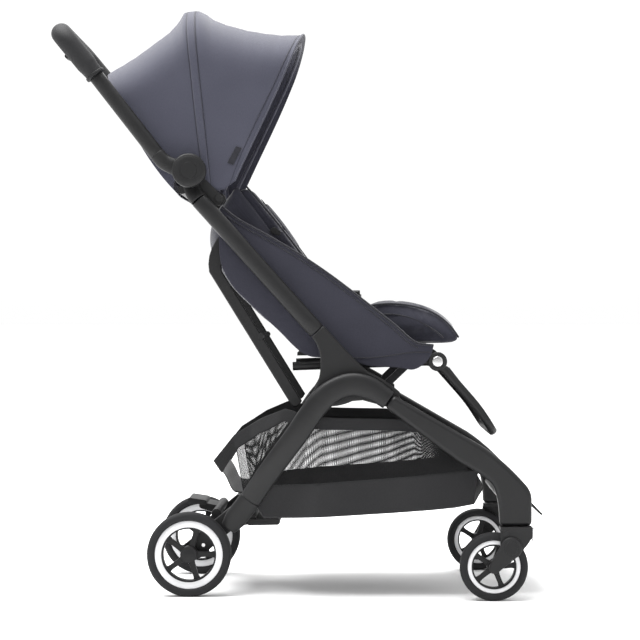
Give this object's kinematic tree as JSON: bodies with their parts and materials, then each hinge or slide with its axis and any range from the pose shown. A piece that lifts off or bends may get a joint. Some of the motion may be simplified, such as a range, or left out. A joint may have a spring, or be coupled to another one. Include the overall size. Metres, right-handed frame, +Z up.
{
  "type": "baby stroller",
  "caption": "Compact folding baby stroller: arched legs, long push handle, sling seat, curved hood, net basket, leg rest, front casters and larger rear wheels.",
  "frame": {"origin": "on the ground, below the centre of the stroller's box", "axes": "+X forwards, +Y to the rider's left, +Z up"},
  "size_m": [0.8738, 0.45, 1.0597],
  "materials": {
    "frame_tube": "matt black powder coat",
    "moulding": "moulded nylon, fine matt grain",
    "grip_rubber": "soft foam-like rubber grip",
    "tyre_rubber": "solid foam tyre, matt",
    "rim_silver": "satin silver band, black spokes and hub",
    "canopy_fabric": "slate blue woven polyester",
    "seat_fabric": "dark navy woven polyester",
    "webbing": "black woven webbing",
    "basket_fabric": "black fabric and open net"
  },
  "bodies": {
    "front_frame": {"front_leg_R": "frame_tube", "front_leg_L": "frame_tube", "front_cross_tube": "frame_tube", "basket": "basket_fabric"},
    "rear_frame": {"rear_leg_R": "frame_tube", "rear_leg_L": "frame_tube", "rear_bracket_R": "moulding", "rear_bracket_L": "moulding", "rear_cross_tube": "frame_tube"},
    "main_frame": {"main_tube_R": "frame_tube", "main_tube_L": "frame_tube", "junction_R": "moulding", "junction_L": "moulding", "hinge_socket_R": "moulding", "hinge_socket_L": "moulding", "back_brace": "frame_tube", "canopy_bow_rear": "frame_tube", "canopy": "canopy_fabric", "side_panel_R": "seat_fabric", "side_panel_L": "seat_fabric"},
    "back_struts": {"back_strut_R": "moulding", "back_strut_L": "moulding"},
    "handle": {"hinge_elbow_R": "moulding", "hinge_elbow_L": "moulding", "handle_tube_R": "frame_tube", "handle_tube_L": "frame_tube", "grip": "grip_rubber"},
    "fold_button": {"fold_button": "moulding"},
    "canopy_front": {"canopy_bow_front": "frame_tube"},
    "canopy_mid": {"canopy_bow_mid": "frame_tube"},
    "backrest": {"backrest_pad": "seat_fabric", "shoulder_strap_R": "webbing", "shoulder_strap_L": "webbing"},
    "seat": {"seat_frame": "frame_tube", "seat_board": "moulding", "seat_pad": "seat_fabric", "calf_pad": "seat_fabric", "buckle": "moulding"},
    "seat_links": {"seat_link_R": "webbing", "seat_link_L": "webbing"},
    "buckle_button": {"buckle_button": "moulding"},
    "leg_rest": {"leg_rest_bar": "frame_tube", "leg_rest_panel": "seat_fabric"},
    "brake_pedal": {"brake_pedal": "moulding"},
    "caster_R": {"caster_R": "moulding"},
    "swing_arm_R": {"swing_arm_R": "moulding"},
    "swivel_lock_R": {"swivel_lock_R": "moulding"},
    "front_wheel_R": {"front_tyre_R": "tyre_rubber", "front_rim_R": "rim_silver"},
    "rear_wheel_R": {"rear_tyre_R": "tyre_rubber", "rear_rim_R": "rim_silver"},
    "brake_pin_R": {"brake_pin_R": "frame_tube"},
    "caster_L": {"caster_L": "moulding"},
    "swing_arm_L": {"swing_arm_L": "moulding"},
    "swivel_lock_L": {"swivel_lock_L": "moulding"},
    "front_wheel_L": {"front_tyre_L": "tyre_rubber", "front_rim_L": "rim_silver"},
    "rear_wheel_L": {"rear_tyre_L": "tyre_rubber", "rear_rim_L": "rim_silver"},
    "brake_pin_L": {"brake_pin_L": "frame_tube"}
  },
  "joints": [
    {"name": "frame_fold", "type": "hinge", "parent": "front_frame", "child": "main_frame", "pos_m": [0.098, 0, 0.372], "axis": [0, 1, 0], "range_deg": [0, 148], "deforming": ["side_panel_R", "side_panel_L", "backrest_pad", "shoulder_strap_R", "shoulder_strap_L", "seat_pad", "calf_pad", "basket"]},
    {"name": "rear_fold", "type": "hinge", "parent": "front_frame", "child": "rear_frame", "pos_m": [0.098, 0, 0.372], "axis": [0, -1, 0], "range_deg": [0, 62.01]},
    {"name": "strut_fold", "type": "hinge", "parent": "main_frame", "child": "back_struts", "pos_m": [-0.124, 0, 0.638], "axis": [0, -1, 0], "range_deg": [0, 12]},
    {"name": "seat_fold", "type": "hinge", "parent": "main_frame", "child": "seat", "pos_m": [0.098, 0, 0.412], "axis": [0, -1, 0], "range_deg": [0, 130]},
    {"name": "link_fold", "type": "hinge", "parent": "seat", "child": "seat_links", "pos_m": [0.205, 0, 0.42], "axis": [0, 1, 0], "range_deg": [0, 60]},
    {"name": "handle_fold", "type": "hinge", "parent": "main_frame", "child": "handle", "pos_m": [-0.189, 0, 0.754], "axis": [0, 1, 0], "range_deg": [0, 170]},
    {"name": "fold_slider", "type": "slide", "parent": "handle", "child": "fold_button", "axis": [0, 1, 0], "range_m": [0, 0.008]},
    {"name": "canopy_close", "type": "hinge", "parent": "main_frame", "child": "canopy_front", "pos_m": [-0.138, 0, 0.706], "axis": [0, -1, 0], "range_deg": [0, 48], "deforming": ["canopy"]},
    {"name": "canopy_mid_close", "type": "hinge", "parent": "main_frame", "child": "canopy_mid", "pos_m": [-0.138, 0, 0.706], "axis": [0, -1, 0], "range_deg": [0, 17.28]},
    {"name": "recline", "type": "hinge", "parent": "main_frame", "child": "backrest", "pos_m": [0.062, 0, 0.5], "axis": [0, -1, 0], "range_deg": [0, 18]},
    {"name": "buckle_release", "type": "slide", "parent": "seat", "child": "buckle_button", "axis": [-1, 0, 0], "range_m": [0, 0.003], "stiffness_N_per_m": 500, "springref_m": -0.002},
    {"name": "leg_rest_lift", "type": "hinge", "parent": "seat", "child": "leg_rest", "pos_m": [0.25, 0, 0.417], "axis": [0, -1, 0], "range_deg": [-20, 42], "deforming": ["leg_rest_panel"]},
    {"name": "brake_press", "type": "hinge", "parent": "rear_frame", "child": "brake_pedal", "pos_m": [-0.146, 0, 0.142], "axis": [0, -1, 0], "range_deg": [0, 18]},
    {"name": "caster_swivel_R", "type": "hinge", "parent": "front_frame", "child": "caster_R", "pos_m": [0.3845, -0.1985, 0.1299], "axis": [0, 0, 1], "continuous": true},
    {"name": "suspension_R", "type": "hinge", "parent": "caster_R", "child": "swing_arm_R", "pos_m": [0.375, -0.22, 0.094], "axis": [0, 1, 0], "range_deg": [0, 7], "stiffness_Nm_per_rad": 40, "springref_deg": -3.44},
    {"name": "front_spin_R", "type": "hinge", "parent": "swing_arm_R", "child": "front_wheel_R", "pos_m": [0.346, -0.2, 0.05962], "axis": [0, 1, 0], "continuous": true},
    {"name": "swivel_lock_slide_R", "type": "slide", "parent": "caster_R", "child": "swivel_lock_R", "axis": [0, 0, 1], "range_m": [0, 0.004]},
    {"name": "rear_spin_R", "type": "hinge", "parent": "rear_frame", "child": "rear_wheel_R", "pos_m": [-0.1915, -0.149, 0.07453], "axis": [0, 1, 0], "continuous": true},
    {"name": "brake_pin_slide_R", "type": "slide", "parent": "rear_frame", "child": "brake_pin_R", "axis": [0, -1, 0], "range_m": [0, 0.012]},
    {"name": "caster_swivel_L", "type": "hinge", "parent": "front_frame", "child": "caster_L", "pos_m": [0.3845, 0.1985, 0.1299], "axis": [0, 0, 1], "continuous": true},
    {"name": "suspension_L", "type": "hinge", "parent": "caster_L", "child": "swing_arm_L", "pos_m": [0.375, 0.22, 0.094], "axis": [0, 1, 0], "range_deg": [0, 7], "stiffness_Nm_per_rad": 40, "springref_deg": -3.44},
    {"name": "front_spin_L", "type": "hinge", "parent": "swing_arm_L", "child": "front_wheel_L", "pos_m": [0.346, 0.2, 0.05962], "axis": [0, 1, 0], "continuous": true},
    {"name": "swivel_lock_slide_L", "type": "slide", "parent": "caster_L", "child": "swivel_lock_L", "axis": [0, 0, 1], "range_m": [0, 0.004]},
    {"name": "rear_spin_L", "type": "hinge", "parent": "rear_frame", "child": "rear_wheel_L", "pos_m": [-0.1915, 0.149, 0.07453], "axis": [0, 1, 0], "continuous": true},
    {"name": "brake_pin_slide_L", "type": "slide", "parent": "rear_frame", "child": "brake_pin_L", "axis": [0, 1, 0], "range_m": [0, 0.012]}
  ],
  "couplings": [
    {"joint": "rear_fold", "follows": "frame_fold", "ratio": 0.41892},
    {"joint": "strut_fold", "follows": "frame_fold", "ratio": 0.081081},
    {"joint": "seat_fold", "follows": "frame_fold", "ratio": 0.87838},
    {"joint": "link_fold", "follows": "frame_fold", "ratio": 0.40541},
    {"joint": "canopy_mid_close", "follows": "canopy_close", "ratio": 0.36},
    {"joint": "brake_pin_slide_R", "follows": "brake_press", "m_per_rad": 0.03819},
    {"joint": "brake_pin_slide_L", "follows": "brake_press", "m_per_rad": 0.03819}
  ]
}
